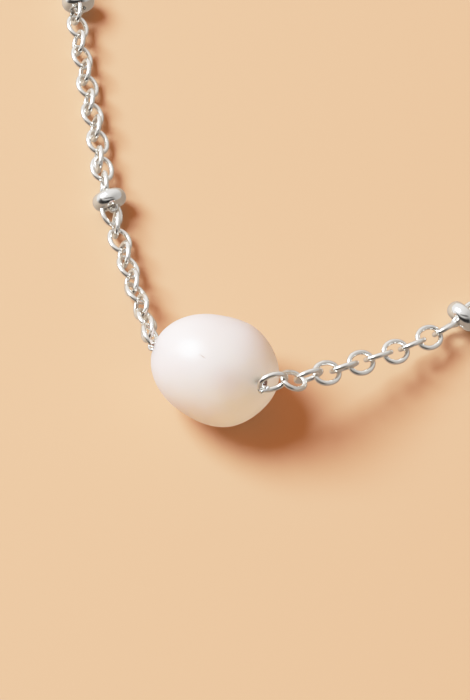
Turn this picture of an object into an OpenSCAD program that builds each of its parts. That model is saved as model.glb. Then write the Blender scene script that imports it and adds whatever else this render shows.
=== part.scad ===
// Single-pearl necklace on a bead-station cable chain, lying closed on a table.
// Millimetres. +Z is up and the table is z = 0. +Y runs from the pearl to the clasp,
// +X is to the right seen from the pearl. The origin is the middle of the
// necklace's footprint, on the table.
//
// Order along the loop: pearl on its pin, ten beads down each half of the chain,
// an end ring on each half, and the clasp.

/* [Pearl] */
// Length of the pearl along its long axis, which lies along X
pearl_len = 9.66; // [9.5:0.02:9.8]
// Thickness of the pearl across its long axis
pearl_dia = 8.12; // [8.0:0.02:8.2]
// Diameter of the drilled hole
drill_dia = 1.2; // [1.18:0.02:1.3]

/* [Pearl pin] */
// Wire of the pin and of its two eyes
pin_wire = 0.36; // [0.3:0.02:0.4]
// Outside diameter of each eye
eye_od = 1.14; // [1.0:0.02:1.16]
// How far the right end of the pin stands above the left one, as an angle
pin_tilt = 9.3; // [8.8:0.1:9.8]
// Turn of the left eye about the pin
eye_turn_left = 40; // [-90:5:90]
// Turn of the right eye about the pin
eye_turn_right = -55; // [-90:5:90]

/* [Chain] */
// Width over the corners of the eight-sided tube that stands for the links
chain_dia = 2.08; // [1.9:0.02:2.1]
// Width of the tube where it goes through the middle of a bead
neck_dia = 0.8; // [0.7:0.05:0.85]

/* [Beads] */
// Outside diameter of a bead
bead_od = 2.7; // [2.5:0.05:2.9]
// Width of a bead along the chain
bead_w = 1.36; // [1.2:0.02:1.4]
// Bore of a bead
bead_bore = 1.5; // [1.5:0.02:1.6]

/* [Clasp] */
// Outside diameter of the clasp's ring
clasp_od = 6; // [5.8:0.1:6.2]
// Thickness of the clasp's ring
clasp_wire = 1.2; // [1.1:0.05:1.3]
// Outside diameter of the clasp's small eye
clasp_eye_od = 2.4; // [2.3:0.05:2.5]
// Thickness of the clasp's small eye
clasp_eye_wire = 0.6; // [0.5:0.05:0.6]
// Outside diameter of an end ring
end_ring_od = 3.6; // [3.5:0.05:3.7]
// Wire of an end ring
end_ring_wire = 0.5; // [0.4:0.05:0.5]
// Lean of the end rings from the table
end_ring_lean = 56; // [52:1:60]

/* [Hidden] */
$fn = 96;

steel = [0.74, 0.74, 0.73];
nacre = [0.95, 0.92, 0.89];

// Middle of the pin, measured from the point under the pearl. The hole is
// drilled above the middle of the pearl and towards its front.
pin_mid = [-0.35, -0.55, 5.35];
// Distance along the pin from its middle to the middle of each eye.
eye_dist = 4.66;

// Height of the middle of the tube where it rests on the table.
rest_z = chain_dia / 2 * cos(22.5);
// Height of the middle of a bead on the table.
bead_z = bead_od / 2;

// The chain's route from the pearl to the first bead, from the point under
// the pearl: x, y, z.
lead_left = [
    [-5.3, 0.0, 4.4],
    [-6.3, 1.4, 3.7],
    [-7.3, 2.8, 3.0],
    [-8.8, 4.8, 1.9],
    [-10.5, 6.9, 1.3],
    [-12.2, 9.0, 1.1]];
lead_right = [
    [5.1, 0.0, 6.1],
    [6.1, 0.8, 5.7],
    [7.8, 2.8, 4.7],
    [9.6, 5.1, 3.7],
    [11.4, 7.6, 2.7],
    [13.1, 10.2, 1.8]];

// Where the beads sit on the table, from the pearl to the clasp: x, y.
beads_left = [
    [-14.4, 11.7], [-25.1, 28.1], [-35.0, 45.0], [-43.5, 63.0], [-50.5, 81.5],
    [-54.0, 101.0], [-52.5, 120.5], [-44.5, 138.5], [-31.0, 153.0], [-13.5, 162.0]];
beads_right = [
    [14.7, 12.9], [25.5, 29.5], [35.0, 46.5], [43.5, 64.5], [50.5, 83.0],
    [54.0, 102.5], [52.0, 122.0], [43.5, 139.5], [30.0, 153.5], [12.5, 162.0]];

// Last points of each half, beside its end ring: x, y.
end_left = [-6.2, 163.5];
end_right = [6.2, 163.5];

// Middle of the clasp's ring: x, y.
clasp_mid = [1.3, 163.5];

// Point under the pearl seen from the middle of the footprint.
under_pearl = [0, (pearl_dia / 2 - clasp_mid[1] - clasp_od / 2) / 2, 0];

function unit(v) = v / norm(v);
function flat(p, z) = [p[0], p[1], z];

// Direction of the chain at bead i of a row, between its two neighbours.
function heading(before, beads, after, i) = unit(
    (i == len(beads) - 1 ? after : beads[i + 1]) - (i == 0 ? before : beads[i - 1]));

// Middle of the run from a to b, bowed as the headings ta and tb ask.
function bowed(a, b, ta, tb) = (a + b) / 2 + (ta - tb) * norm(b - a) / 8;

// Distance from a bead's middle to the full width of the tube beside it.
shoulder = 1.75;
// Height of the tube's middle there.
shoulder_z = bead_z - 0.1;

// One half's rings, [point, radius] each: thin beside the eye, full width by
// 3 mm on, then a neck through each bead and a ring midway to the next one.
function lead_rings(lead) = [for (p = lead)
    [p, min(chain_dia / 2, 0.3 + 0.36 * norm(p - lead[0]))]];
function bead_rings(lead, beads, end) = let (
        before = flat(lead[len(lead) - 1], 0),
        b = [before, for (p = beads) flat(p, 0), flat(end, 0)],
        n = len(beads))
    [for (i = [1:n])
        let (t = unit(b[i + 1] - b[i - 1]),
            t2 = i < n ? unit(b[i + 2] - b[i]) : unit(b[i + 1] - b[i]),
            m = bowed(b[i], b[i + 1], t, t2))
        each concat(
            [[b[i] - t * shoulder + [0, 0, shoulder_z], chain_dia / 2],
                [b[i] + [0, 0, bead_z], neck_dia / 2],
                [b[i] + t * shoulder + [0, 0, shoulder_z], chain_dia / 2]],
            i < n ? [[m + [0, 0, rest_z], chain_dia / 2]] : [])];
function half_rings(lead, beads, end) = concat(
    lead_rings(lead),
    bead_rings(lead, beads, end),
    [[flat(end, rest_z), chain_dia / 2]]);

// Tube with eight sides through a list of rings, one flat side down.
module tube(rings) {
    n = len(rings);
    points = [for (i = [0:n - 1])
        let (p = rings[i][0],
            t = unit(rings[min(i + 1, n - 1)][0] - rings[max(i - 1, 0)][0]),
            s = unit(cross([0, 0, 1], t)),
            u = cross(t, s))
        for (k = [0:7])
            p + rings[i][1] * (cos(22.5 + 45 * k) * s + sin(22.5 + 45 * k) * u)];
    sides = [for (i = [0:n - 2], k = [0:7])
        let (a = 8 * i + k, b = 8 * i + (k + 1) % 8)
        each [[a, b, a + 8], [b, b + 8, a + 8]]];
    caps = [[for (k = [7:-1:0]) k], [for (k = [0:7]) 8 * (n - 1) + k]];
    polyhedron(points, concat(sides, caps));
}

// Ring of round wire about Z.
module wire_ring(od, wire) {
    rotate_extrude() translate([(od - wire) / 2, 0]) circle(d = wire, $fn = 48);
}

// Half outline of the pearl: an ellipse, in short straight steps.
module pearl_outline() {
    polygon([for (t = [-90:5:90]) [pearl_dia / 2 * cos(t), pearl_len / 2 * sin(t)]]);
}

module on_pin_axis() {
    translate(under_pearl + pin_mid) rotate([0, -pin_tilt, 0]) children();
}

module pearl() {
    color(nacre) difference() {
        translate(under_pearl + [0, 0, pearl_dia / 2]) rotate([0, 90, 0])
            rotate_extrude($fn = 180) pearl_outline();
        on_pin_axis() rotate([0, 90, 0])
            cylinder(d = drill_dia, h = 14, center = true, $fn = 48);
    }
}

module pearl_pin() {
    reach = eye_dist - (eye_od - pin_wire) / 2;
    color(steel) on_pin_axis() union() {
        rotate([0, 90, 0]) cylinder(d = pin_wire, h = 2 * reach, center = true, $fn = 48);
        translate([-eye_dist, 0, 0]) rotate([eye_turn_left, 0, 0]) wire_ring(eye_od, pin_wire);
        translate([eye_dist, 0, 0]) rotate([eye_turn_right, 0, 0]) wire_ring(eye_od, pin_wire);
    }
}

module chain_left() {
    color(steel) translate(under_pearl) tube(half_rings(lead_left, beads_left, end_left));
}

module chain_right() {
    color(steel) translate(under_pearl) tube(half_rings(lead_right, beads_right, end_right));
}

// One bead about X: rounded outside, with a straight bore.
module bead_shape() {
    corner = 0.6;
    rotate([0, 90, 0]) difference() {
        rotate_extrude() intersection() {
            union() {
                for (s = [-1, 1])
                    translate([bead_od / 2 - corner, s * (bead_w / 2 - corner)])
                        circle(r = corner, $fn = 48);
                translate([bead_od / 2 - corner, corner - bead_w / 2])
                    square([corner, bead_w - 2 * corner]);
                translate([0, -bead_w / 2]) square([bead_od / 2 - corner, bead_w]);
            }
            translate([0, -bead_w]) square([bead_od, 2 * bead_w]);
        }
        cylinder(d = bead_bore, h = 2 * bead_w, center = true, $fn = 48);
    }
}

// Bead k of 20: 1 to 10 down the left half from the pearl, 11 to 20 down the right.
module bead(k) {
    left = k <= 10;
    i = left ? k - 1 : k - 11;
    row = left ? beads_left : beads_right;
    lead = left ? lead_left : lead_right;
    last = lead[len(lead) - 1];
    t = heading([last[0], last[1]], row, left ? end_left : end_right, i);
    color(steel) translate(under_pearl + flat(row[i], bead_z))
        rotate([0, 0, atan2(t[1], t[0])]) bead_shape();
}

module bead_01() { bead(1); }
module bead_02() { bead(2); }
module bead_03() { bead(3); }
module bead_04() { bead(4); }
module bead_05() { bead(5); }
module bead_06() { bead(6); }
module bead_07() { bead(7); }
module bead_08() { bead(8); }
module bead_09() { bead(9); }
module bead_10() { bead(10); }
module bead_11() { bead(11); }
module bead_12() { bead(12); }
module bead_13() { bead(13); }
module bead_14() { bead(14); }
module bead_15() { bead(15); }
module bead_16() { bead(16); }
module bead_17() { bead(17); }
module bead_18() { bead(18); }
module bead_19() { bead(19); }
module bead_20() { bead(20); }

// Radius of the middle line of each ring's wire.
clasp_r = (clasp_od - clasp_wire) / 2;
eye_r = (clasp_eye_od - clasp_eye_wire) / 2;
end_ring_r = (end_ring_od - end_ring_wire) / 2;
// Distance from the clasp's middle to its small eye's.
eye_x = clasp_od / 2 + clasp_eye_od / 2 - 0.45;
// Height of the end rings' middle, and of the clasp's a little below it.
end_ring_z = end_ring_r * sin(end_ring_lean) + end_ring_wire / 2;
clasp_z = end_ring_z - 0.1;
// Play between an end ring and the wire inside it.
play = 0.2;

// Plain closed ring with a small eye soldered to its left side. It lies level,
// carried by the low sides of the two end rings, which go under it.

module clasp() {
    color(steel) translate(under_pearl + flat(clasp_mid, clasp_z)) union() {
        wire_ring(clasp_od, clasp_wire);
        translate([-eye_x, 0, 0]) wire_ring(clasp_eye_od, clasp_eye_wire);
    }
}

// Each end ring leans on the table and goes round the wire that it holds.
module end_ring(x) {
    color(steel) translate(under_pearl + flat(clasp_mid, end_ring_z) + [x, 0, 0])
        rotate([end_ring_lean, 0, 0]) wire_ring(end_ring_od, end_ring_wire);
}

module end_ring_left() {
    end_ring(play + (end_ring_wire + clasp_eye_wire) / 2 - end_ring_r - eye_r - eye_x);
}

module end_ring_right() {
    end_ring(clasp_r + end_ring_r - (end_ring_wire + clasp_wire) / 2 - play);
}

pearl();
pearl_pin();
chain_left();
chain_right();
bead_01();
bead_02();
bead_03();
bead_04();
bead_05();
bead_06();
bead_07();
bead_08();
bead_09();
bead_10();
bead_11();
bead_12();
bead_13();
bead_14();
bead_15();
bead_16();
bead_17();
bead_18();
bead_19();
bead_20();
clasp();
end_ring_left();
end_ring_right();
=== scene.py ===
import math

import bpy
import numpy as np
from mathutils import Matrix, Vector


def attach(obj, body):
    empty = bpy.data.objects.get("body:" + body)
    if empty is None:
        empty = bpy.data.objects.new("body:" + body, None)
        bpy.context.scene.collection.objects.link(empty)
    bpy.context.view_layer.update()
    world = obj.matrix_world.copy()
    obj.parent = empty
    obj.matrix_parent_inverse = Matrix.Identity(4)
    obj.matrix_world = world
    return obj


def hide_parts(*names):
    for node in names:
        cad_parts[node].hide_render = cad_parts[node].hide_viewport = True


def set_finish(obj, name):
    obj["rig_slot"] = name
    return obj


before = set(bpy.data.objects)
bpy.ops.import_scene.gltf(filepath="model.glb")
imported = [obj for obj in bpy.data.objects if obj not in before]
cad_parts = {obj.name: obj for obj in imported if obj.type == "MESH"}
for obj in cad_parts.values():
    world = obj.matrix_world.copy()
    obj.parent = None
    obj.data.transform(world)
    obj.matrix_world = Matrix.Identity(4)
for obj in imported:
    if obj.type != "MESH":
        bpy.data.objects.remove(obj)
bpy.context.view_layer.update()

MM = 0.001
# Point under the pearl, in mm, as in the CAD model.
UNDER = np.array([0.0, -81.22, 0.0])
Z = np.array([0.0, 0.0, 1.0])


def unit(v):
    v = np.asarray(v, float)
    return v / np.linalg.norm(v)


# ---------------------------------------------------------------- camera
ELEV, AZ = math.radians(61.5), math.radians(24.0)
FORWARD = np.array([-math.sin(AZ) * math.cos(ELEV), math.cos(AZ) * math.cos(ELEV), -math.sin(ELEV)])
RIGHT = np.array([math.cos(AZ), math.sin(AZ), 0.0])
UP = np.cross(RIGHT, FORWARD)
TO_CAM = -FORWARD
CAM_AT = (np.array([32.39, -69.11, 147.59]) + UNDER) * MM

cam_data = bpy.data.cameras.new("camera")
cam_data.lens = 113.14
cam_data.sensor_width = 36.0
cam_data.sensor_fit = "AUTO"
cam_data.clip_start = 0.005
cam_data.clip_end = 50.0
cam = bpy.data.objects.new("camera", cam_data)
cam.matrix_world = Matrix((
    (RIGHT[0], UP[0], -FORWARD[0], CAM_AT[0]),
    (RIGHT[1], UP[1], -FORWARD[1], CAM_AT[1]),
    (RIGHT[2], UP[2], -FORWARD[2], CAM_AT[2]),
    (0, 0, 0, 1)))
bpy.context.scene.collection.objects.link(cam)
bpy.context.scene.camera = cam


# ---------------------------------------------------------------- mesh helpers
def make_object(name, verts_mm, faces, material, slot, smooth=True):
    """One mesh object from points in mm, its faces smooth-shaded."""
    mesh = bpy.data.meshes.new(name)
    v = np.asarray(verts_mm, float) * MM
    f = np.asarray(faces, np.int64)
    mesh.vertices.add(len(v))
    mesh.vertices.foreach_set("co", v.astype(np.float32).ravel())
    k = f.shape[1]
    mesh.loops.add(f.size)
    mesh.loops.foreach_set("vertex_index", f.astype(np.int32).ravel())
    mesh.polygons.add(len(f))
    mesh.polygons.foreach_set("loop_start", (np.arange(len(f)) * k).astype(np.int32))
    mesh.polygons.foreach_set("loop_total", np.full(len(f), k, np.int32))
    mesh.update(calc_edges=True)
    mesh.validate()
    if smooth:
        mesh.polygons.foreach_set("use_smooth", np.ones(len(mesh.polygons), bool))
    mesh.materials.append(material)
    obj = bpy.data.objects.new(name, mesh)
    bpy.context.scene.collection.objects.link(obj)
    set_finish(obj, slot)
    return obj


def grid_faces(n, m, wrap_n, wrap_m, start=0, flip=False):
    """Quads of a grid of n by m points, numbered row by row from start."""
    i = np.arange(n if wrap_n else n - 1)
    j = np.arange(m if wrap_m else m - 1)
    i, j = np.meshgrid(i, j, indexing="ij")
    a = i * m + j
    b = i * m + (j + 1) % m
    c = ((i + 1) % n) * m + (j + 1) % m
    d = ((i + 1) % n) * m + j
    q = np.stack([a, d, c, b] if flip else [a, b, c, d], -1).reshape(-1, 4)
    return q + start


# ---------------------------------------------------------------- materials
def new_material(name):
    mat = bpy.data.materials.new(name)
    mat.use_nodes = True
    nt = mat.node_tree
    return mat, nt, nt.nodes["Principled BSDF"]


def noise(nt, coord, scale, detail=3.0, rough=0.5, seed=0.0):
    """Noise over the object's own coordinates, scale in cycles per mm."""
    mapping = nt.nodes.new("ShaderNodeMapping")
    mapping.inputs["Scale"].default_value = (1000.0,) * 3
    mapping.inputs["Location"].default_value = (seed, seed * 1.7, seed * 0.6)
    nt.links.new(coord, mapping.inputs["Vector"])
    tex = nt.nodes.new("ShaderNodeTexNoise")
    tex.inputs["Scale"].default_value = scale
    tex.inputs["Detail"].default_value = detail
    tex.inputs["Roughness"].default_value = rough
    nt.links.new(mapping.outputs["Vector"], tex.inputs["Vector"])
    return tex.outputs["Fac"]


def ramp(nt, fac, stops):
    r = nt.nodes.new("ShaderNodeValToRGB")
    while len(r.color_ramp.elements) < len(stops):
        r.color_ramp.elements.new(0.5)
    for e, (pos, col) in zip(r.color_ramp.elements, stops):
        e.position = pos
        e.color = (*col, 1.0) if len(col) == 3 else col
    nt.links.new(fac, r.inputs["Fac"])
    return r.outputs["Color"]


def to_range(nt, fac, lo, hi):
    m = nt.nodes.new("ShaderNodeMapRange")
    m.inputs["From Min"].default_value = 0.3
    m.inputs["From Max"].default_value = 0.7
    m.inputs["To Min"].default_value = lo
    m.inputs["To Max"].default_value = hi
    nt.links.new(fac, m.inputs["Value"])
    return m.outputs["Result"]


def bump(nt, height, strength, distance_mm, normal=None):
    b = nt.nodes.new("ShaderNodeBump")
    b.inputs["Strength"].default_value = strength
    b.inputs["Distance"].default_value = distance_mm * MM
    nt.links.new(height, b.inputs["Height"])
    if normal is not None:
        nt.links.new(normal, b.inputs["Normal"])
    return b.outputs["Normal"]


def metal(name, tone, rough_lo, rough_hi, grain, seed):
    """Polished white metal: even tone with faint cloudiness, fine polishing waviness and soft wear."""
    mat, nt, bsdf = new_material(name)
    coord = nt.nodes.new("ShaderNodeTexCoord").outputs["Object"]
    bsdf.inputs["Metallic"].default_value = 1.0
    cloud = noise(nt, coord, 0.9, 4.0, 0.55, seed)
    dark = tuple(c * 0.90 for c in tone)
    nt.links.new(ramp(nt, cloud, [(0.30, dark), (0.62, tone)]), bsdf.inputs["Base Color"])
    fine = noise(nt, coord, 5.0, 3.0, 0.6, seed + 3.1)
    nt.links.new(to_range(nt, fine, rough_lo, rough_hi), bsdf.inputs["Roughness"])
    wave = noise(nt, coord, 1.6, 2.0, 0.45, seed + 7.7)
    n1 = bump(nt, wave, 0.35, grain)
    scratch = noise(nt, coord, 14.0, 2.0, 0.5, seed + 12.9)
    nt.links.new(bump(nt, scratch, 0.12, grain * 0.25, n1), bsdf.inputs["Normal"])
    return mat


METAL_LINK = metal("polished_link_metal", (0.93, 0.89, 0.84), 0.13, 0.24, 0.020, 2.0)
METAL_BEAD = metal("polished_bead_metal", (0.92, 0.905, 0.88), 0.10, 0.20, 0.035, 21.0)
METAL_FIT = metal("polished_fitting_metal", (0.83, 0.82, 0.80), 0.12, 0.22, 0.025, 47.0)


# ---------------------------------------------------------------- the pearl
LONG, THICK = 4.83, 4.06
PEARL_MID = UNDER + np.array([0.0, 0.0, THICK])
PIN_MID = UNDER + np.array([-0.35, -0.55, 5.35])
PIN_DIR = np.array([math.cos(math.radians(9.3)), 0.0, math.sin(math.radians(9.3))])
BORE = 0.34

# How far the outline stands off an ellipse, round the picture's axis: angle
# (degrees, clockwise from the right), distance in mm.
OFF_ROUND = [(0, 0.04), (40, -0.12), (80, 0.11), (130, -0.10), (205, 0.06), (275, -0.09), (318, 0.13)]


def off_round(d):
    """Distance in mm by which the pearl's skin leaves the plain egg, for unit directions d."""
    a, b = d @ RIGHT, -(d @ UP)
    ang = np.degrees(np.arctan2(b, a)) % 360
    knots = np.array([k[0] for k in OFF_ROUND] + [360.0])
    vals = np.array([k[1] for k in OFF_ROUND] + [OFF_ROUND[0][1]])
    i = np.clip(np.searchsorted(knots, ang, side="right") - 1, 0, len(knots) - 2)
    t = (ang - knots[i]) / (knots[i + 1] - knots[i])
    t = t * t * (3 - 2 * t)
    out = (vals[i] * (1 - t) + vals[i + 1] * t) * (a * a + b * b)
    # the skin keeps its place where it rests
    low = np.clip((-d[:, 2] - 0.70) / 0.25, 0, 1)
    return out * (1 - low * low * (3 - 2 * low))


# A short curved blemish: start and end as picture-aligned offsets from the pearl's middle, in mm.
def on_skin(right, up):
    """Point of the egg's visible side with these offsets from its middle along the picture's axes."""
    o = right * RIGHT + up * UP
    lo, hi = 0.0, 6.0
    for _ in range(50):
        m = (lo + hi) / 2
        q = o + m * TO_CAM
        if (q[0] / LONG) ** 2 + (q[1] / THICK) ** 2 + (q[2] / THICK) ** 2 < 1:
            lo = m
        else:
            hi = m
    return o + lo * TO_CAM


MARK = [on_skin(-1.10, 1.08), on_skin(-0.92, 1.00), on_skin(-0.78, 0.91), on_skin(-0.66, 0.79)]


def pearl_material():
    mat, nt, bsdf = new_material("nacre")
    coord = nt.nodes.new("ShaderNodeTexCoord").outputs["Object"]
    # body colour: white, with broad soft clouds of rose-lavender and cream
    big = noise(nt, coord, 0.11, 2.0, 0.45, 5.3)
    base = ramp(nt, big, [(0.34, (0.745, 0.714, 0.702)), (0.50, (0.732, 0.706, 0.728)),
                          (0.66, (0.716, 0.698, 0.745))])

    def spot(at, frame_of, size, inner, tone, over):
        """A soft spot of another tone: middle and half-sizes in mm, along the frame's axes."""
        place = nt.nodes.new("ShaderNodeMapping")
        place.vector_type = "TEXTURE"
        place.inputs["Location"].default_value = tuple(np.asarray(at) * MM)
        place.inputs["Rotation"].default_value = Matrix([tuple(r) for r in np.array(frame_of).T]).to_euler()
        place.inputs["Scale"].default_value = tuple(v * MM for v in size)
        nt.links.new(coord, place.inputs["Vector"])
        length = nt.nodes.new("ShaderNodeVectorMath")
        length.operation = "LENGTH"
        nt.links.new(place.outputs["Vector"], length.inputs[0])
        fade = nt.nodes.new("ShaderNodeMapRange")
        fade.interpolation_type = "SMOOTHSTEP"
        fade.inputs["From Min"].default_value = inner
        fade.inputs["From Max"].default_value = 1.0
        nt.links.new(length.outputs["Value"], fade.inputs["Value"])
        mix = nt.nodes.new("ShaderNodeMix")
        mix.data_type = "RGBA"
        mix.inputs[6].default_value = (*tone, 1.0)
        nt.links.new(fade.outputs["Result"], mix.inputs[0])
        nt.links.new(over, mix.inputs[7])
        return mix.outputs[2]

    base = spot(PEARL_MID + on_skin(0.85, -0.65), (RIGHT, UP, TO_CAM), (2.1, 1.6, 2.4), 0.0, (0.675, 0.625, 0.645), base)
    along = unit(MARK[3] - MARK[0])
    up = unit(MARK[1] / np.array([LONG, THICK, THICK]) ** 2)
    across = unit(np.cross(up, along))
    base = spot(PEARL_MID + (MARK[1] + MARK[2]) / 2, (along, across, np.cross(along, across)), (0.36, 0.060, 0.30), 0.1,
                (0.46, 0.36, 0.31), base)
    # painted shade: the drilled hole's mouth is coloured dark as the shade inside it, fading out over its rim; deeper
    # in, the wall keeps the nacre's colour
    off = nt.nodes.new("ShaderNodeVectorMath")
    off.operation = "SUBTRACT"
    off.inputs[1].default_value = tuple(PIN_MID * MM)
    nt.links.new(coord, off.inputs[0])
    cross = nt.nodes.new("ShaderNodeVectorMath")
    cross.operation = "CROSS_PRODUCT"
    cross.inputs[1].default_value = tuple(PIN_DIR)
    nt.links.new(off.outputs["Vector"], cross.inputs[0])
    away = nt.nodes.new("ShaderNodeVectorMath")
    away.operation = "LENGTH"
    nt.links.new(cross.outputs["Vector"], away.inputs[0])
    off_hole_shade = nt.nodes.new("ShaderNodeMapRange")
    off_hole_shade.interpolation_type = "SMOOTHSTEP"
    off_hole_shade.inputs["From Min"].default_value = (BORE + 0.005) * MM
    off_hole_shade.inputs["From Max"].default_value = (BORE + 0.09) * MM
    nt.links.new(away.outputs["Value"], off_hole_shade.inputs["Value"])
    deep = nt.nodes.new("ShaderNodeVectorMath")
    deep.operation = "LENGTH"
    nt.links.new(off.outputs["Vector"], deep.inputs[0])
    inside = nt.nodes.new("ShaderNodeMapRange")
    inside.interpolation_type = "SMOOTHSTEP"
    inside.inputs["From Min"].default_value = 4.05 * MM
    inside.inputs["From Max"].default_value = 3.70 * MM
    nt.links.new(deep.outputs["Value"], inside.inputs["Value"])
    either = nt.nodes.new("ShaderNodeMath")
    either.operation = "MAXIMUM"
    nt.links.new(off_hole_shade.outputs["Result"], either.inputs[0])
    nt.links.new(inside.outputs["Result"], either.inputs[1])
    # painted shade: dark brown for the shadowed inside of the hole's mouth
    hole_shade = nt.nodes.new("ShaderNodeMix")
    hole_shade.data_type = "RGBA"
    hole_shade.inputs[6].default_value = (0.12, 0.060, 0.040, 1.0)
    nt.links.new(either.outputs["Value"], hole_shade.inputs[0])
    nt.links.new(base, hole_shade.inputs[7])
    nt.links.new(hole_shade.outputs[2], bsdf.inputs["Base Color"])
    bsdf.inputs["IOR"].default_value = 1.56
    fine = noise(nt, coord, 1.4, 3.0, 0.55, 9.1)
    nt.links.new(to_range(nt, fine, 0.34, 0.44), bsdf.inputs["Roughness"])
    bsdf.inputs["Subsurface Weight"].default_value = 1.0
    bsdf.inputs["Subsurface Radius"].default_value = (1.0, 0.88, 0.78)
    bsdf.inputs["Subsurface Scale"].default_value = 0.0066
    bsdf.inputs["Coat Weight"].default_value = 0.18
    bsdf.inputs["Coat Roughness"].default_value = 0.25
    bsdf.inputs["Coat IOR"].default_value = 1.5
    bsdf.inputs["Sheen Weight"].default_value = 0.10
    bsdf.inputs["Sheen Roughness"].default_value = 0.4
    bsdf.inputs["Sheen Tint"].default_value = (1.0, 0.93, 0.95, 1.0)
    growth = noise(nt, coord, 0.55, 3.0, 0.5, 14.0)
    nt.links.new(bump(nt, growth, 0.25, 0.03), bsdf.inputs["Normal"])
    return mat


NACRE = pearl_material()


def segment_distance(p, a, b):
    t = np.clip(((p - a) @ (b - a)) / ((b - a) @ (b - a)), 0, 1)
    return np.linalg.norm(p - (a + t[:, None] * (b - a)), axis=1)


def build_pearl():
    """Egg with a slightly uneven skin and its drilled hole, as one closed skin round the pin's axis."""
    na, nb = ((210, 330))
    side = unit(np.cross(PIN_DIR, Z))
    top = np.cross(side, PIN_DIR)
    beta = np.arange(nb) / nb * 2 * math.pi
    ring = np.cos(beta)[:, None] * top + np.sin(beta)[:, None] * side

    def skin(direction):
        """Where rays from the middle of the pin leave the egg."""
        o = (PIN_MID - PEARL_MID) / [LONG, THICK, THICK]
        w = direction / [LONG, THICK, THICK]
        a = (w * w).sum(1)
        b = (w * o).sum(1)
        c = (o * o).sum() - 1
        t = (-b + np.sqrt(b * b - a * c)) / a
        p = (PIN_MID - PEARL_MID) + direction * t[:, None]
        d = p / np.linalg.norm(p, axis=1)[:, None]
        p = p + d * off_round(d)[:, None]
        near = np.min([segment_distance(p, MARK[i], MARK[i + 1]) for i in range(3)], axis=0)
        return p - d * (0.022 * np.exp(-(near / 0.045) ** 2) - 0.007 * np.exp(-((near - 0.12) / 0.05) ** 2))[:, None]

    # the angle from the axis at which the skin meets the hole's edge, for each way round
    edge = BORE + 0.08
    ends = []
    for s in (1.0, -1.0):
        lo, hi = np.full(nb, 1e-3), np.full(nb, 0.6)
        for _ in range(40):
            m = (lo + hi) / 2
            p = skin(np.cos(m)[:, None] * PIN_DIR * s + np.sin(m)[:, None] * ring)
            q = p - (PIN_MID - PEARL_MID)
            r = np.linalg.norm(q - (q @ PIN_DIR)[:, None] * PIN_DIR, axis=1)
            big = r > edge
            hi = np.where(big, m, hi)
            lo = np.where(big, lo, m)
        ends.append((lo + hi) / 2)
    rows = []
    for k in range(na):
        t = k / (na - 1)
        alpha = ends[0] * (1 - t) + (math.pi - ends[1]) * t
        rows.append(skin(np.cos(alpha)[:, None] * PIN_DIR + np.sin(alpha)[:, None] * ring))
    # rounded lip into the hole at each end, then the hole's wall
    def lip(row, s):
        out = []
        q = row - (PIN_MID - PEARL_MID)
        x = q @ PIN_DIR
        for k in range(1, 6):
            a = math.radians(90 * k / 5)
            r = edge - (edge - BORE) * math.sin(a)
            xx = x - s * 0.08 * (1 - math.cos(a))
            out.append((PIN_MID - PEARL_MID) + xx[:, None] * PIN_DIR + r * ring)
        return out
    front = lip(rows[0], 1.0)
    back = lip(rows[-1], -1.0)
    wall = []
    x0 = (front[-1] - (PIN_MID - PEARL_MID)) @ PIN_DIR
    x1 = (back[-1] - (PIN_MID - PEARL_MID)) @ PIN_DIR
    # chipped wider at its ends, the hole narrows inwards
    steps = (0.10, 0.20, 0.30, 0.40, 0.50, 0.60)
    for x, s in ((x1, 1.0), (x0, -1.0)):
        side_rows = []
        for d in steps:
            f = d / steps[-1]
            r = BORE - (BORE - 0.22) * f * f * (3 - 2 * f)
            side_rows.append((PIN_MID - PEARL_MID) + (x + s * d)[:, None] * PIN_DIR + r * ring)
        wall += side_rows if s > 0 else side_rows[::-1]
    rows = rows + back + wall + front[::-1]
    verts = np.concatenate(rows) + PEARL_MID
    verts[:, 2] = np.maximum(verts[:, 2], 0.0)
    faces = grid_faces(len(rows), nb, True, True)
    return make_object("pearl_skin", verts, faces, NACRE, "pearl")


pearl = build_pearl()
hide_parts("pearl")
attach(pearl, "root")

# ---------------------------------------------------------------- the chain's route, in mm from the point under the pearl
EYE_DIST = 4.66
EYE_L = np.array([-0.35, -0.55, 5.35]) - EYE_DIST * PIN_DIR
EYE_R = np.array([-0.35, -0.55, 5.35]) + EYE_DIST * PIN_DIR
LEAD_LEFT = [(-5.3, 0.0, 4.4), (-6.3, 1.4, 3.7), (-7.3, 2.8, 3.0), (-8.8, 4.8, 1.9), (-10.5, 6.9, 1.3), (-12.2, 9.0, 1.1)]
LEAD_RIGHT = [(5.1, 0.0, 6.1), (6.1, 0.8, 5.7), (7.8, 2.8, 4.7), (9.6, 5.1, 3.7), (11.4, 7.6, 2.7), (13.1, 10.2, 1.8)]
BEADS_LEFT = [(-14.4, 11.7), (-25.1, 28.1), (-35.0, 45.0), (-43.5, 63.0), (-50.5, 81.5),
              (-54.0, 101.0), (-52.5, 120.5), (-44.5, 138.5), (-31.0, 153.0), (-13.5, 162.0)]
BEADS_RIGHT = [(14.7, 12.9), (25.5, 29.5), (35.0, 46.5), (43.5, 64.5), (50.5, 83.0),
               (54.0, 102.5), (52.0, 122.0), (43.5, 139.5), (30.0, 153.5), (12.5, 162.0)]
END_LEFT, END_RIGHT = (-6.2, 163.5), (6.2, 163.5)
BEAD_Z, REST_Z = 1.35, 0.96

# Links: half-length and half-width of the wire's middle line, and the wire's radius.
HALF_LONG, HALF_WIDE, WIRE = 1.02, 0.805, 0.195

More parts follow.
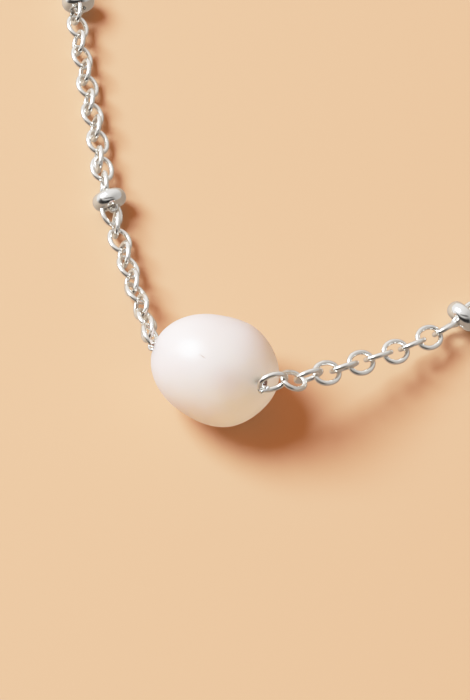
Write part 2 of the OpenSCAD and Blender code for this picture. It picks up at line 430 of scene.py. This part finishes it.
# The links near the pearl, from the pearl outwards: middle, then the turns in
# degrees: roll of the link's plane about the chain from facing the viewer, and
# how far its long axis leaves the line between its neighbours, sideways and
# away from the viewer.
FIRST_LEFT = [
    (-5.47, 0.51, 4.35, 60, 0, -3), (-6.13, 1.33, 3.60, -54, -2, -11), (-6.72, 2.31, 2.94, 60, 4, -2),
    (-7.71, 3.45, 2.41, -43, 1, 7), (-8.69, 4.58, 1.91, 54, 1, 2), (-9.52, 5.52, 1.50, -53, -8, 1),
    (-10.40, 6.73, 1.33, 45, 4, 1), (-11.23, 7.71, 1.14, -61, -14, 0), (-12.10, 8.75, 1.11, 32, 1, 4),
    (-12.98, 9.95, 1.17, -75, -16, 2), (-13.80, 10.79, 1.06, 37, -3, -5)]
FIRST_RIGHT = [
    (4.80, -0.41, 6.49, 51, 6, 8), (6.00, 0.61, 5.86, -36, 0, 18), (6.76, 1.70, 5.31, 69, 0, 0),
    (7.79, 2.74, 4.74, -16, 0, 0), (8.69, 3.94, 4.27, 83, 0, 0), (9.61, 5.05, 3.77, -11, 0, 0),
    (10.50, 6.34, 3.32, 88, 0, 0), (11.46, 7.47, 2.80, -10, 0, 0), (12.30, 8.77, 2.37, 89, 0, 0),
    (13.19, 10.10, 1.91, -11, 0, 0), (13.98, 11.56, 1.52, 90, 0, 0)]
# The links of the first run between two beads on the left, the same way.
RUN_LEFT = [
    (-15.34, 12.79, 1.29, -74, -8, -2), (-16.20, 14.11, 1.24, 25, -7, -7), (-16.92, 14.98, 0.94, -71, -8, -4),
    (-17.70, 16.41, 1.03, 31, 2, 1), (-18.42, 17.55, 1.01, -67, -14, -1), (-19.26, 18.64, 0.98, 33, -3, -2),
    (-20.03, 19.64, 0.95, -65, -12, 0), (-20.83, 20.98, 0.99, 34, 2, 2), (-21.62, 22.15, 1.00, -60, -10, 1),
    (-22.47, 23.35, 1.03, 40, 0, 2), (-23.32, 24.52, 1.09, -58, -8, 5), (-24.06, 25.85, 1.25, 35, 3, 7),
    (-24.79, 27.10, 1.38, -60, 3, 1)]
# Roll of the link inside each bead: the first from facing the viewer, the
# others from lying flat. The links between turn from one to the next.
BEAD_ROLLS_LEFT = [75, 38, 30, 36, 42, 45, 40, 34, 38, 44, 47]
BEAD_ROLLS_RIGHT = [50, 20, 34, 40, 45, 41, 36, 33, 39, 45, 48]


# How each bead near the pearl has slid and turned on its link: along x and y in
# mm, then turned about the vertical and its end nearer the pearl lowered, in
# degrees. The others only rock a little.
BEAD_SETS = {1: (0.0, 0.0, 10, 19), 2: (0.0, 0.0, 0, 15), 11: (0.07, 0.30, 12, 19)}


def bead_set(number):
    if number in BEAD_SETS:
        return BEAD_SETS[number]
    return 0.0, 0.0, 5 * math.sin(2.3 * number), 6 * math.sin(1.7 * number + 0.4)


def smooth(t):
    t = np.clip(t, 0, 1)
    return t * t * (3 - 2 * t)


def spline(points, n=60):
    """Centripetal curve through the points, as many short steps."""
    P = [np.array(p, float) for p in points]
    Q = [2 * P[0] - P[1]] + P + [2 * P[-1] - P[-2]]
    out = []
    for i in range(1, len(Q) - 2):
        p0, p1, p2, p3 = Q[i - 1:i + 3]
        t1 = np.linalg.norm(p1 - p0) ** 0.5
        t2 = t1 + np.linalg.norm(p2 - p1) ** 0.5
        t3 = t2 + np.linalg.norm(p3 - p2) ** 0.5
        for t in np.linspace(t1, t2, n, endpoint=False):
            a1 = (t1 - t) / t1 * p0 + t / t1 * p1
            a2 = (t2 - t) / (t2 - t1) * p1 + (t - t1) / (t2 - t1) * p2
            a3 = (t3 - t) / (t3 - t2) * p2 + (t - t2) / (t3 - t2) * p3
            b1 = (t2 - t) / t2 * a1 + t / t2 * a2
            b2 = (t3 - t) / (t3 - t1) * a2 + (t - t1) / (t3 - t1) * a3
            out.append((t2 - t) / (t2 - t1) * b1 + (t - t1) / (t2 - t1) * b2)
    out.append(P[-1])
    return np.array(out)


def arc_length(c):
    return np.concatenate([[0], np.cumsum(np.linalg.norm(np.diff(c, axis=0), axis=1))])


def at(c, s, x):
    return np.array([np.interp(x, s, c[:, i]) for i in range(3)])


def headings(lead, beads, end):
    b = [np.array(lead[-1][:2])] + [np.array(p, float) for p in beads] + [np.array(end, float)]
    t = [None]
    for i in range(1, len(b)):
        t.append(unit(b[i + 1] - b[i - 1]) if i < len(b) - 1 else unit(b[i] - b[i - 1]))
    return b, t


def hermite(p, q, tp, tq, n=200):
    h = np.linalg.norm(q - p)
    u = np.linspace(0, 1, n)[:, None]
    xy = (2 * u**3 - 3 * u**2 + 1) * p + (u**3 - 2 * u**2 + u) * h * tp \
        + (-2 * u**3 + 3 * u**2) * q + (u**3 - u**2) * h * tq
    return np.concatenate([xy, np.zeros((n, 1))], 1)


def rolled(t, ref, degrees):
    """Normal of a link's plane: turned about t by degrees from the side of ref."""
    s = unit(np.cross(t, ref))
    n0 = np.cross(s, t)
    a = math.radians(degrees)
    return math.cos(a) * n0 + math.sin(a) * s


def laid(rows, before, after):
    """Links from a table of middles and turns, between the points before and after them."""
    mids = [np.array(before, float)] + [np.array(r[:3]) for r in rows] + [np.array(after, float)]
    out = []
    for k, row in enumerate(rows):
        chord = unit(mids[k + 2] - mids[k])
        roll, yaw, dip = (math.radians(v) for v in row[3:])
        a = chord * math.cos(yaw) + np.cross(TO_CAM, chord) * math.sin(yaw) \
            + TO_CAM * (TO_CAM @ chord) * (1 - math.cos(yaw))
        deep = unit(FORWARD - (FORWARD @ a) * a)
        a = math.cos(dip) * a + math.sin(dip) * deep
        out.append([mids[k + 1], a, rolled(a, TO_CAM, row[3]), HALF_WIDE])
    return out


def lay_half(eye, beads, end, lead, first, first_run, rolls, seed, number):
    """Every link of one half: middle, long axis, plane's normal, half-width."""
    b, t = headings(lead, beads, end)
    links = laid(first, eye, (*beads[0], BEAD_Z))
    rng = np.random.default_rng(seed)
    for i in range(1, len(b) - 1):
        p, q = b[i], b[i + 1]
        tip = i == len(b) - 2
        run = hermite(p, q, t[i], t[i + 1])
        rs = arc_length(run)
        total = rs[-1]
        # the last run ends with a link that goes through the end ring
        n = 14 if not tip else LAST_LINKS
        step = total / n
        # the link inside the bead's bore is squeezed narrow
        slope = math.radians(0.6 * bead_set(number + i - 1)[3])
        slid = (0.25 if number > 1 else 0.12) if i == 1 else 0.0
        inside = [np.array([*(p + slid * t[i]), BEAD_Z]), unit([*(t[i] * math.cos(slope)), math.sin(slope)]), None, 0.37]
        if i == 1:
            inside[2] = rolled(inside[1], TO_CAM, rolls[0])
        else:
            inside[2] = rolled(inside[1], Z, rolls[i - 1])
        links.append(inside)
        if i == 1 and first_run:
            links += laid(first_run, (*p, BEAD_Z), (*q, BEAD_Z))
            continue
        for k in range(1, n + (1 if tip else 0)):
            x = k * step
            d = min(x, total - x) if not tip else x
            z = BEAD_Z - (BEAD_Z - REST_Z) * float(smooth((d - 0.2) / 5.0))
            if tip:
                z += 0.50 * float(smooth((x - total + 3.0) / 3.0))
            c = at(run, rs, x)
            # slack lets the links sit a hair off the line
            c = c + np.array([-t[i][1], t[i][0], 0]) * 0.06 * math.sin(1.3 * k + 2.1 * i) * (0 if tip else 1)
            c[2] = z
            ahead = min(x + 0.5, total)
            a = unit(at(run, rs, ahead) - at(run, rs, ahead - 1.0))
            f = x / total
            roll = rolls[i - 1] * (1 - f) + rolls[i] * f + (90 if k % 2 else 0) + rng.uniform(-6, 6)
            ref = TO_CAM if i == 1 else Z
            links.append([c, a, rolled(a, ref, roll), HALF_WIDE])
    return links


def above_surface(links):
    """Lifts each link that would dip below the surface it lies on."""
    for link in links:
        c, a, n, w = link
        side = np.cross(n, a)
        low = math.sqrt((HALF_LONG * a[2]) ** 2 + (w * side[2]) ** 2) + WIRE
        if c[2] < low + 0.01:
            link[0] = np.array([c[0], c[1], low + 0.01])
    return links


def link_mesh(links, nu, nv, seed):
    """All links of one half as one mesh: oval rings of round wire with a faint solder joint."""
    rng = np.random.default_rng(seed)
    u = np.arange(nu) / nu * 2 * math.pi
    v = np.arange(nv) / nv * 2 * math.pi
    verts, faces = [], []
    for i, (c, a, n, w) in enumerate(links):
        side = np.cross(n, a)
        grow = 1 + rng.uniform(-0.012, 0.012)
        ha, hb = HALF_LONG * grow, w * (1 + rng.uniform(-0.015, 0.015))
        # a little fuller than an ellipse
        cu = np.sign(np.cos(u)) * np.abs(np.cos(u)) ** 0.94
        su = np.sign(np.sin(u)) * np.abs(np.sin(u)) ** 0.94
        line = ha * cu[:, None] * a + hb * su[:, None] * side
        tan = np.roll(line, -1, 0) - np.roll(line, 1, 0)
        tan /= np.linalg.norm(tan, axis=1)[:, None]
        out = np.cross(tan, n)
        joint = math.radians(90 if rng.random() < 0.5 else 270)
        du = np.abs((u - joint + math.pi) % (2 * math.pi) - math.pi)
        r = WIRE * (1 + 0.06 * np.exp(-(du / 0.16) ** 2) - 0.015 * np.exp(-((du - 0.30) / 0.1) ** 2))
        ring = line[:, None, :] + r[:, None, None] * (np.cos(v)[None, :, None] * out[:, None, :]
                                                     + np.sin(v)[None, :, None] * n[None, None, :])
        faces.append(grid_faces(nu, nv, True, True, start=i * nu * nv, flip=True))
        verts.append(ring.reshape(-1, 3) + c + UNDER)
    return np.concatenate(verts), np.concatenate(faces)


NU, NV = ((40, 12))
LAST_LINKS = 5
LINKS_LEFT = above_surface(lay_half(EYE_L, BEADS_LEFT, END_LEFT, LEAD_LEFT, FIRST_LEFT, RUN_LEFT, BEAD_ROLLS_LEFT, 11, 1))
LINKS_RIGHT = above_surface(lay_half(EYE_R, BEADS_RIGHT, END_RIGHT, LEAD_RIGHT, FIRST_RIGHT, None, BEAD_ROLLS_RIGHT, 23, 11))


def spun_about(v, about, degrees):
    """A vector turned about an axis."""
    k, s = about / np.linalg.norm(about), math.radians(degrees)
    return v * math.cos(s) + np.cross(k, v) * math.sin(s) + k * (k @ v) * (1 - math.cos(s))


# the link inside the first bead leans, so that it hooks both of its neighbours
first_mid, first_axis, first_face, first_wide = LINKS_LEFT[11]
first_face = spun_about(first_face, first_axis, -90)
first_side = np.cross(first_face, first_axis)
LINKS_LEFT[11] = [first_mid - 0.1 * first_axis,
                  spun_about(spun_about(first_axis, first_face, 14), first_side, -14),
                  spun_about(first_face, first_side, -14), first_wide]
# the last link on the right is turned and shifted a little, clear of its end ring's wire
last_mid, last_axis, last_face, last_wide = LINKS_RIGHT[-1]
LINKS_RIGHT[-1] = [last_mid + 0.15 * np.cross(Z, last_axis), last_axis,
                   last_face * math.cos(math.radians(30)) + np.cross(last_axis, last_face) * math.sin(math.radians(30)), last_wide]
for name, links, seed in (("left", LINKS_LEFT, 5), ("right", LINKS_RIGHT, 8)):
    v, f = link_mesh(links, NU, NV, seed)
    obj = make_object(f"chain_{name}_links", v, f, METAL_LINK, "chain")
    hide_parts(f"chain_{name}")
    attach(obj, "root")

# ---------------------------------------------------------------- the pin through the pearl
PIN_WIRE = 0.12


def tube(path, radius, sides):
    """Round wire along the path, its ends rounded."""
    P = spline(path, 10)
    T = np.gradient(P, axis=0)
    T /= np.linalg.norm(T, axis=1)[:, None]
    x = unit(np.cross(T[0], Z))
    v = np.arange(sides) / sides * 2 * math.pi
    rings = []
    for i, (p, t) in enumerate(zip(P, T)):
        x = unit(x - (x @ t) * t)
        y = np.cross(t, x)
        circle = np.cos(v)[:, None] * x + np.sin(v)[:, None] * y
        if i == 0:
            rings += [p - t * radius * math.cos(a) + circle * radius * math.sin(a) for a in (0.02, 0.5, 1.0)]
        rings.append(p + circle * radius)
        if i == len(P) - 1:
            rings += [p + t * radius * math.cos(a) + circle * radius * math.sin(a) for a in (1.0, 0.5, 0.02)]
    verts = np.concatenate(rings)
    quads = grid_faces(len(rings), sides, False, True)
    tips = [[len(verts), (j + 1) % sides, j] for j in range(sides)]
    base = (len(rings) - 1) * sides
    tips += [[len(verts) + 1, base + j, base + (j + 1) % sides] for j in range(sides)]
    verts = np.concatenate([verts, [P[0] - T[0] * radius], [P[-1] + T[-1] * radius]])
    return verts, quads, tips


def wire_eye(link, hole, sweep):
    """Points of a small loop that comes out of the hole and goes round the link's near end."""
    c, a, n, w = link
    mid = c - HALF_LONG * a
    outward = unit(mid + UNDER - PEARL_MID)
    if n @ outward < 0:
        n = -n
    side = np.cross(n, a)
    h = hole - mid
    start = math.degrees(math.atan2(h @ n, h @ a))
    if start > 90:
        start -= 360
    way = 1 if start > -120 else -1
    out = []
    for k in range(8):
        f = k / 7
        th = math.radians(start + way * (12 + (sweep - 12) * f))
        out.append(mid + 0.37 * (math.cos(th) * a + math.sin(th) * n) + side * (h @ side) * max(0.0, 0.8 - f))
    return out


PIN_FOOT = np.array([-0.35, -0.55, 5.35])
HOLE_L = PIN_FOOT - 4.40 * PIN_DIR
left_eye = wire_eye(LINKS_LEFT[0], HOLE_L, 290)
# the other end leaves by the hole's lower side, passes through the first link and turns back round its wire to the skin
RIGHT_EYE = [(3.20, -0.55, 5.93), (3.76, -0.66, 5.95), (4.17, -0.73, 5.97), (4.60, -0.82, 6.19),
             (4.57, -1.07, 6.18), (4.36, -1.34, 6.30), (4.22, -1.27, 5.92), (4.04, -1.19, 6.08)]
path = left_eye[::-1] + [HOLE_L, HOLE_L + 0.35 * PIN_DIR, PIN_FOOT] + [np.array(p) for p in RIGHT_EYE]
pin_v, pin_q, pin_t = tube([p + UNDER for p in path], PIN_WIRE, 18)
pin_mesh = bpy.data.meshes.new("pin_wire")
pin_mesh.from_pydata([tuple(p * MM) for p in pin_v], [], [tuple(int(i) for i in q) for q in pin_q] + [tuple(t) for t in pin_t])
pin_mesh.update()
for poly in pin_mesh.polygons:
    poly.use_smooth = True
pin_mesh.materials.append(METAL_FIT)
pin = bpy.data.objects.new("pin_wire", pin_mesh)
bpy.context.scene.collection.objects.link(pin)
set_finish(pin, "fittings")
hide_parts("pearl_pin")
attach(pin, "root")

# ---------------------------------------------------------------- station beads
BEAD_MID, BEAD_RADIAL, BEAD_AXIAL = 0.80, 0.55, 0.66
THROAT_R = 0.60


def bead_profile():
    """Outline (x along the bead's axis, r from it): an oval barrel, rounded into a plain throat."""
    last = math.degrees(math.acos((THROAT_R + 0.02 - BEAD_MID) / BEAD_RADIAL))
    pts = []
    for k in range(45):
        a = math.radians(last * (2 * k / 44 - 1))
        pts.append((BEAD_AXIAL * math.sin(a), BEAD_MID + BEAD_RADIAL * math.cos(a)))
    x = pts[-1][0]
    inner = [(x - 0.012, THROAT_R + 0.008), (x - 0.03, THROAT_R + 0.002), (x - 0.06, THROAT_R), (0.2, THROAT_R)]
    return pts + inner + [(-x, r) for x, r in reversed(inner)]


def bead_mesh(nb, profile, seed):
    rng = np.random.default_rng(seed)
    ang = np.arange(nb) / nb * 2 * math.pi
    pr = np.array(profile)
    ph = rng.uniform(0, 2 * math.pi, 2)
    # a hair off round, as pressed metal beads are
    wob = 1 + 0.004 * np.cos(2 * ang + ph[0]) + 0.003 * np.cos(3 * ang + ph[1])
    out = np.zeros((nb, len(pr), 3))
    for j, (x, r) in enumerate(pr):
        rr = r * (wob if r > BEAD_MID else 1)
        out[:, j, 0] = x
        out[:, j, 1] = rr * np.cos(ang)
        out[:, j, 2] = rr * np.sin(ang)
    return out


def place_beads(lead, beads, end, start):
    b, t = headings(lead, beads, end)
    profile = bead_profile()
    nb = 72
    for i in range(len(beads)):
        h = t[i + 1]
        loc = bead_mesh(nb, profile, 100 + start + i)
        dx, dy, turn, dip = bead_set(start + i)
        turn, dip = math.radians(turn), math.radians(dip)
        h = np.array([h[0] * math.cos(turn) - h[1] * math.sin(turn), h[0] * math.sin(turn) + h[1] * math.cos(turn)])
        axis = np.array([h[0] * math.cos(dip), h[1] * math.cos(dip), math.sin(dip)])
        side = np.array([-h[1], h[0], 0.0])
        p = loc.reshape(-1, 3) @ np.array([axis, side, np.cross(axis, side)])
        # it rests on the surface
        p[:, 2] -= p[:, 2].min()
        p[:, :2] += np.array(beads[i]) + UNDER[:2] + [dx, dy]
        name = f"bead_{start + i:02d}"
        obj = make_object(f"{name}_ring", p, grid_faces(nb, len(profile), True, True, flip=True), METAL_BEAD, "bead")
        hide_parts(name)
        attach(obj, "root")


place_beads(LEAD_LEFT, BEADS_LEFT, END_LEFT, 1)
place_beads(LEAD_RIGHT, BEADS_RIGHT, END_RIGHT, 11)

# ---------------------------------------------------------------- carried-over CAD nodes
for node in ("clasp", "end_ring_left", "end_ring_right"):
    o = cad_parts[node]
    if not o.material_slots:
        o.data.materials.append(METAL_FIT)
    for ms in o.material_slots:
        ms.material = METAL_FIT

# ---------------------------------------------------------------- floor
floor_mat, nt, bsdf = new_material("pale_floor")
bsdf.inputs["Base Color"].default_value = (0.67, 0.402, 0.250, 1.0)
bsdf.inputs["Roughness"].default_value = 0.85
bsdf.inputs["Specular IOR Level"].default_value = 0.2
floor = make_object("floor", np.array([[-4000, -4000, 0], [4000, -4000, 0], [4000, 4000, 0], [-4000, 4000, 0]], float),
                    [[0, 1, 2, 3]], floor_mat, "floor", smooth=False)
del floor["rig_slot"]
floor.visible_glossy = False

# ---------------------------------------------------------------- light
TO_LIGHT = unit([-0.669, 0.020, 0.743])
LIGHT_DIST = 0.9
key_data = bpy.data.lights.new("key", "AREA")
key_data.shape = "DISK"
key_data.size = 2 * LIGHT_DIST * math.tan(math.radians(16.6))
key_data.energy = 15.5
key_data.color = (0.794, 0.925, 1.0)
key = bpy.data.objects.new("key", key_data)
key_at = UNDER * MM + TO_LIGHT * LIGHT_DIST
key.matrix_world = Matrix.Translation(Vector(key_at)) @ Vector(TO_LIGHT).to_track_quat("Z", "Y").to_matrix().to_4x4()
bpy.context.scene.collection.objects.link(key)

# A low soft fill from the right, which barely lights the floor.
TO_FILL = unit([0.86, -0.42, 0.24])
fill_data = bpy.data.lights.new("fill", "AREA")
fill_data.shape = "DISK"
fill_data.size = 0.45
fill_data.energy = 4.1
fill_data.use_shadow = False
fill_data.color = (1.0, 0.93, 0.67)
fill = bpy.data.objects.new("fill", fill_data)
fill_at = UNDER * MM + TO_FILL * 0.9
fill.matrix_world = Matrix.Translation(Vector(fill_at)) @ Vector(TO_FILL).to_track_quat("Z", "Y").to_matrix().to_4x4()
bpy.context.scene.collection.objects.link(fill)
fill.visible_glossy = False

# World: a soft white room. Its walls show brighter in the metal and the nacre
# than they light the floor, and it is dim where the viewer stands.
world = bpy.data.worlds.new("room")
bpy.context.scene.world = world
world.use_nodes = True
wt = world.node_tree
background = wt.nodes["Background"]
direction = wt.nodes.new("ShaderNodeTexCoord").outputs["Generated"]


def toward(vector, inner, outer, at_inner, at_outer):
    """Brightness by angle (degrees) from a direction: at_inner near it, at_outer away from it."""
    dot = wt.nodes.new("ShaderNodeVectorMath")
    dot.operation = "DOT_PRODUCT"
    dot.inputs[1].default_value = tuple(unit(vector))
    wt.links.new(direction, dot.inputs[0])
    m = wt.nodes.new("ShaderNodeMapRange")
    m.interpolation_type = "SMOOTHSTEP"
    m.inputs["From Min"].default_value = math.cos(math.radians(outer))
    m.inputs["From Max"].default_value = math.cos(math.radians(inner))
    m.inputs["To Min"].default_value = at_outer
    m.inputs["To Max"].default_value = at_inner
    wt.links.new(dot.outputs["Value"], m.inputs["Value"])
    return m.outputs["Result"]


def times(a, b):
    m = wt.nodes.new("ShaderNodeMath")
    m.operation = "MULTIPLY"
    for socket, v in ((m.inputs[0], a), (m.inputs[1], b)):
        if isinstance(v, float):
            socket.default_value = v
        else:
            wt.links.new(v, socket)
    return m.outputs["Value"]


def by_height(lo, hi, at_lo, at_hi):
    """Brightness by the direction's height over the horizon, as a sine."""
    m = wt.nodes.new("ShaderNodeMapRange")
    m.interpolation_type = "SMOOTHSTEP"
    m.inputs["From Min"].default_value = lo
    m.inputs["From Max"].default_value = hi
    m.inputs["To Min"].default_value = at_lo
    m.inputs["To Max"].default_value = at_hi
    wt.links.new(height, m.inputs["Value"])
    return m.outputs["Result"]


def less(a, b):
    m = wt.nodes.new("ShaderNodeMath")
    m.operation = "SUBTRACT"
    for socket, v in ((m.inputs[0], a), (m.inputs[1], b)):
        if isinstance(v, float):
            socket.default_value = v
        else:
            wt.links.new(v, socket)
    return m.outputs["Value"]


split = wt.nodes.new("ShaderNodeSeparateXYZ")
wt.links.new(direction, split.inputs[0])
height = split.outputs["Z"]
# what lights the floor: dim and warm, from the walls
background.inputs["Color"].default_value = (0.76, 0.23, 0.0, 1.0)
wt.links.new(toward((-0.90, 0.25, 0.35), 25, 115, 1.00, 0.12), background.inputs["Strength"])
# what the metal and the nacre mirror: white walls, brightest on the left, a
# dark patch in front where the viewer stands, and a pale warm ground
mirrored = wt.nodes.new("ShaderNodeBackground")
tint = wt.nodes.new("ShaderNodeMix")
tint.data_type = "RGBA"
tint.inputs[6].default_value = (0.74, 0.61, 0.49, 1.0)
tint.inputs[7].default_value = (1.0, 0.985, 0.965, 1.0)
wt.links.new(by_height(-0.10, 0.10, 0.0, 1.0), tint.inputs[0])
wt.links.new(tint.outputs[2], mirrored.inputs["Color"])
band = times(by_height(-0.12, 0.06, 0.0, 1.0), by_height(0.50, 0.72, 1.0, 0.0))
front = toward((0.12, -0.90, 0.40), 38, 76, 1.0, 0.0)
dark = times(times(band, front), 0.95)
walls = toward((-0.90, 0.25, 0.35), 25, 115, 1.20, 0.54)
viewer = times(toward(TO_CAM, 14, 48, 0.75, 0.0), times(toward(UP, 78, 86, 0.0, 1.0), toward(-UP, 78, 86, 0.0, 1.0)))
wt.links.new(times(times(walls, less(1.0, viewer)), less(1.0, dark)), mirrored.inputs["Strength"])
rays = wt.nodes.new("ShaderNodeLightPath")
either = wt.nodes.new("ShaderNodeMath")
either.operation = "MAXIMUM"
wt.links.new(rays.outputs["Is Glossy Ray"], either.inputs[0])
wt.links.new(rays.outputs["Is Camera Ray"], either.inputs[1])
room = wt.nodes.new("ShaderNodeMixShader")
wt.links.new(either.outputs["Value"], room.inputs[0])
wt.links.new(background.outputs[0], room.inputs[1])
wt.links.new(mirrored.outputs[0], room.inputs[2])
wt.links.new(room.outputs[0], wt.nodes["World Output"].inputs["Surface"])

bpy.context.scene.view_settings.view_transform = "Standard"
bpy.context.scene.view_settings.look = "None"
bpy.context.scene.view_settings.exposure = 0.0
# film-like shoulder: straight to 0.5, then easing to white at 2
view = bpy.context.scene.view_settings
view.use_curve_mapping = True
view.curve_mapping.white_level = (2.0, 2.0, 2.0)
curve = view.curve_mapping.curves[3]
for x, y in ((0.125, 0.25), (0.25, 0.50), (0.40, 0.72), (0.54, 0.84), (0.75, 0.95)):
    curve.points.new(x, y)
view.curve_mapping.update()
